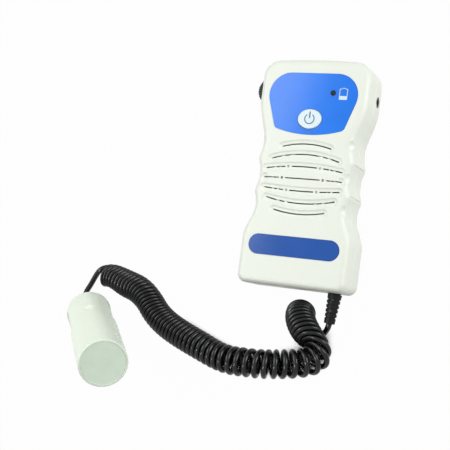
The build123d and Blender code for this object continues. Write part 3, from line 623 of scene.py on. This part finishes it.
# each row: number of the turn, its place along the coil, the way it faces and how far its
# top leans back
turnRows = [
    (-38.8, 0.0000, -6, 4), (-38.0, 0.0024, -9, 8), (-37.0, 0.0052, -13, 12),
    (-36.0, 0.0080, -17, 16), (-33.0, 0.0172, -19, 20), (-30.0, 0.0256, -18, 20),
    (-27.0, 0.0335, -30, 20), (-24.0, 0.0411, -46, 20), (-21.0, 0.0488, -43, 20),
    (-18.0, 0.0568, -35, 20), (-15.0, 0.0647, -27, 20), (-12.0, 0.0728, -21, 20),
    (-9.0, 0.0817, -17, 20), (-6.0, 0.0915, -12, 18), (-3.0, 0.1028, -4, 13),
    (-1.0, 0.1110, 3, 9), (0.0, 0.1164, 4, 6), (1.0, 0.1218, 5, 4), (2.0, 0.1277, 4, 0),
    (3.0, 0.1340, 3, -4), (4.0, 0.1397, 6, -12), (5.0, 0.1454, 11, -22), (6.0, 0.1510, 15, -30),
    (7.0, 0.1572, 22, -33), (8.0, 0.1638, 33, -37), (9.0, 0.1703, 49, -40),
    (10.0, 0.1762, 70, -39), (11.0, 0.1813, 92, -37), (12.0, 0.1856, 110, -35),
    (14.0, 0.1920, 125, -35), (16.0, 0.1968, 129, -37), (18.0, 0.2014, 129, -43),
    (20.0, 0.2058, 126, -54), (21.3, 0.2090, 124, -62),
]
coilRoute = [
    (-0.1431, -0.0792, 0.0083), (-0.1385, -0.0786, 0.0082), (-0.1330, -0.0798, 0.0084),
    (-0.1243, -0.0830, 0.0088), (-0.1141, -0.0858, 0.0093), (-0.1057, -0.0921, 0.0093),
    (-0.0989, -0.1002, 0.0093), (-0.0903, -0.1062, 0.0092), (-0.0808, -0.1106, 0.0092),
    (-0.0710, -0.1144, 0.0092), (-0.0612, -0.1178, 0.0093), (-0.0513, -0.1215, 0.0095),
    (-0.0412, -0.1237, 0.0096), (-0.0306, -0.1234, 0.0098), (-0.0203, -0.1231, 0.0097),
    (-0.0099, -0.1217, 0.0093), (0.0004, -0.1200, 0.0085), (0.0107, -0.1176, 0.0088),
    (0.0152, -0.1153, 0.0095), (0.0186, -0.1117, 0.0104), (0.0174, -0.1067, 0.0112),
    (0.0141, -0.1032, 0.0124), (0.0107, -0.0995, 0.0138), (0.0075, -0.0955, 0.0138),
    (0.0050, -0.0917, 0.0128), (0.0036, -0.0890, 0.0108), (0.0028, -0.0874, 0.0080),
    (0.0023, -0.0866, 0.0055),
]
unitRoute = [
    (0.02379, -0.09138, 0.01235), (0.0234, -0.0934, 0.0121), (0.0220, -0.0954, 0.0098),
    (0.0199, -0.0973, 0.0066), (0.0172, -0.0990, 0.0033), (0.0138, -0.0995, 0.0020),
    (0.0100, -0.0989, 0.0019), (0.0062, -0.0973, 0.0022), (0.0028, -0.0950, 0.0036),
]
probeRoute = [
    (-0.15318, -0.10482, 0.0073), (-0.1555, -0.10367, 0.0045), (-0.1596, -0.1004, 0.0023),
    (-0.1612, -0.0960, 0.0020), (-0.1596, -0.0916, 0.0030), (-0.1553, -0.0868, 0.0056),
    (-0.1500, -0.0800, 0.0094), (-0.1460, -0.0764, 0.0122), (-0.1434, -0.0746, 0.0130),
]


def splineLine(route, order=3, steps=24):
    # the points of a smooth spline through the route, as Blender evaluates it
    curve = bpy.data.curves.new("routeLine", "CURVE")
    curve.dimensions = "3D"
    spline = curve.splines.new("NURBS")
    spline.points.add(len(route) - 1)
    for knot, place in zip(spline.points, route):
        knot.co = (*place, 1.0)
    spline.order_u = order
    spline.use_endpoint_u = True
    spline.resolution_u = steps
    holder = bpy.data.objects.new("routeLine", curve)
    scene.collection.objects.link(holder)
    shape = holder.evaluated_get(bpy.context.evaluated_depsgraph_get())
    mesh = bpy.data.meshes.new_from_object(shape)
    line = np.array([tuple(v.co) for v in mesh.vertices])
    bpy.data.objects.remove(holder)
    bpy.data.meshes.remove(mesh)
    return line


def alongLine(line):
    runs = np.linalg.norm(np.diff(line, axis=0), axis=1)
    return np.concatenate([[0], np.cumsum(runs)])


def evenly(line, step, closest=1e-7):
    # the line in even steps, without its double points
    runs = np.linalg.norm(np.diff(line, axis=0), axis=1)
    line = line[np.concatenate([[True], runs > closest])]
    along = alongLine(line)
    wanted = np.linspace(0, along[-1], max(2, int(round(along[-1] / step)) + 1))
    return np.stack([np.interp(wanted, along, line[:, k]) for k in range(3)], axis=1), wanted


def smoothStep(x):
    x = np.clip(x, 0, 1)
    return x * x * (3 - 2 * x)


def throughRows(rows, wanted):
    # smooth values between the rows, whose first column is the turn's number
    table = np.array(rows, dtype=float)
    at, values = table[:, 0], table[:, 1:]
    slope = np.gradient(values, at, axis=0)
    first = np.clip(np.searchsorted(at, wanted, side="right") - 1, 0, len(at) - 2)
    gap = (at[first + 1] - at[first])[:, None]
    x = (wanted[:, None] - at[first][:, None]) / gap
    start = (2 * x**3 - 3 * x**2 + 1) * values[first] + (x**3 - 2 * x**2 + x) * gap * slope[first]
    return (start + (3 * x**2 - 2 * x**3) * values[first + 1]
            + (x**3 - x**2) * gap * slope[first + 1])


def coilFaces(heading, tilt):
    # the way each turn faces, its left and its upward direction
    heading, tilt = np.radians(heading), np.radians(tilt)
    faces = np.stack([np.cos(tilt) * np.cos(heading), np.cos(tilt) * np.sin(heading),
                      np.sin(tilt)], axis=1)
    left = np.stack([-np.sin(heading), np.cos(heading), 0 * heading], axis=1)
    return faces, left, np.cross(faces, left)


def pressedThickness(line, faces, setup):
    # between close turns the cord is pressed narrower along the coil
    step = setup["stepsPerTurn"]
    between = (line[step:] - line[:-step]) * (faces[step:] + faces[:-step]) / 2
    apart = np.abs(between.sum(axis=1))
    room = np.full(len(line), np.inf)
    room[:-step] = np.minimum(room[:-step], apart)
    room[step:] = np.minimum(room[step:], apart)
    thick = np.minimum(setup["diameter"], room * setup["pressed"])
    ease = np.hanning(setup["easePoints"])
    padded = np.pad(thick, setup["easePoints"] // 2, mode="edge")
    thick = np.convolve(padded, ease / ease.sum(), mode="valid")
    return np.maximum(thick, setup["thinnest"])


def coilLine(setup):
    # middle of the cord round the coil, the way each turn faces, and the cord's thickness
    middle, along = evenly(splineLine(coilRoute), setup["routeStep"])
    firstTurn, lastTurn = turnRows[0][0], setup["lastTurn"]
    count = int((lastTurn - firstTurn) * setup["stepsPerTurn"]) + 1
    turns = np.linspace(firstTurn, lastTurn, count)
    place, heading, tilt = throughRows(turnRows, turns).T
    centre = np.stack([np.interp(place, along, middle[:, k]) for k in range(3)], axis=1)
    faces, left, upward = coilFaces(heading, tilt)
    grow = smoothStep((turns - firstTurn) / setup["widensOver"])
    narrow = setup["probeEndRadius"]
    radius = narrow + (setup["coilRadius"] - narrow) * grow
    # a turn rests on the floor at the lowest
    lowest = radius * np.cos(np.radians(tilt)) + setup["diameter"] / 2 + setup["coilClear"]
    centre[:, 2] = np.maximum(centre[:, 2], lowest)
    angle = 2 * math.pi * turns[:, None]
    line = centre + radius[:, None] * (np.cos(angle) * upward + np.sin(angle) * left)
    thick = pressedThickness(line, faces, setup)
    print("coil turns", round(lastTurn - firstTurn, 1),
          "thinnest", round(float(thick.min()) * 1000, 2))
    return line, faces, thick


def leadOut(route, coil, reach, step):
    # the route's spline, run into the coil's end along the coil's own direction there
    heading = coil[0] - coil[2]
    heading /= np.linalg.norm(heading)
    ends = [tuple(coil[0] + heading * reach), tuple(coil[0])]
    line, _ = evenly(splineLine(list(route) + ends), step)
    return line[:-1]


def relax(line, places, reach, rounds):
    # ease the line where two stretches meet, and leave the rest as it is
    along = alongLine(line)
    share = np.zeros(len(line))
    for place in places:
        share = np.maximum(share, 1 - smoothStep(np.abs(along - along[place]) / reach))
    share[0] = share[-1] = 0
    for _ in range(rounds):
        mean = line.copy()
        mean[1:-1] = (line[:-2] + line[2:]) / 2
        line = line + (mean - line) * 0.5 * share[:, None]
    return line


def carried(side, ahead):
    # the side vector moved along a stretch without twist
    sides = []
    for direction in ahead:
        side = side - direction * np.dot(side, direction)
        side = side / np.linalg.norm(side)
        sides.append(side)
    return np.array(sides)


def tubeMesh(name, line, side, wide, deep, count):
    # a closed tube with an oval section: wide along side, deep across it
    ahead = directions(line)
    side = side - ahead * (side * ahead).sum(axis=1)[:, None]
    side /= np.linalg.norm(side, axis=1)[:, None]
    other = np.cross(ahead, side)
    turn = 2 * math.pi * np.arange(count) / count
    rings = (line[:, None] + (wide[:, None] * np.cos(turn))[:, :, None] / 2 * side[:, None]
             + (deep[:, None] * np.sin(turn))[:, :, None] / 2 * other[:, None])
    starts = np.arange(len(line) - 1)[:, None] * count
    a = starts + np.arange(count)
    b = starts + (np.arange(count) + 1) % count
    faces = np.stack([a, b, b + count, a + count], axis=2).reshape(-1, 4).tolist()
    last = (len(line) - 1) * count
    faces.append(list(range(count))[::-1])
    faces.append([last + k for k in range(count)])
    mesh = bpy.data.meshes.new(name)
    mesh.from_pydata(rings.reshape(-1, 3).tolist(), [], faces)
    form = bmesh.new()
    form.from_mesh(mesh)
    bmesh.ops.recalc_face_normals(form, faces=form.faces)
    for face in form.faces:
        face.smooth = len(face.verts) == 4
    form.to_mesh(mesh)
    form.free()
    tube = bpy.data.objects.new(name, mesh)
    scene.collection.objects.link(tube)
    return tube


def makeLead(setup):
    coil, faces, thick = coilLine(setup)
    probeSide = leadOut(probeRoute, coil, setup["probeReach"], setup["endStep"])
    unitSide = leadOut(unitRoute, coil[::-1], setup["unitReach"], setup["endStep"])[::-1]
    start, end = len(probeSide), len(probeSide) + len(coil)
    line = np.concatenate([probeSide, coil, unitSide])
    line = relax(line, [start - setup["joinInset"], end], setup["joinReach"], setup["joinRounds"])
    ahead = directions(line)
    side = np.concatenate([carried(faces[0], ahead[:start][::-1])[::-1], faces,
                           carried(faces[-1], ahead[end:])])
    full, swell = setup["diameter"], setup["swellPoints"]
    lead = np.full(len(probeSide), full)
    tail = np.full(len(unitSide), full)
    lead[-swell:] = full + (thick[0] - full) * smoothStep(np.linspace(0, 1, swell))
    tail[:swell] = full + (thick[-1] - full) * smoothStep(np.linspace(1, 0, swell))
    wide = np.concatenate([lead, thick, tail])
    line[:, 2] = np.maximum(line[:, 2], full / 2 + setup["endClear"])
    line, side, wide = line[::-1], side[::-1], wide[::-1]
    cord = tubeMesh("curlyLead", line, side, wide, np.full(len(line), full), setup["sides"])
    cord.data.materials.append(finishOf["cordBlack"])
    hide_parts("unit_lead", "coiled_lead", "probe_lead")
    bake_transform(cord)


makeLead(cordSetup)
print("lead ready")
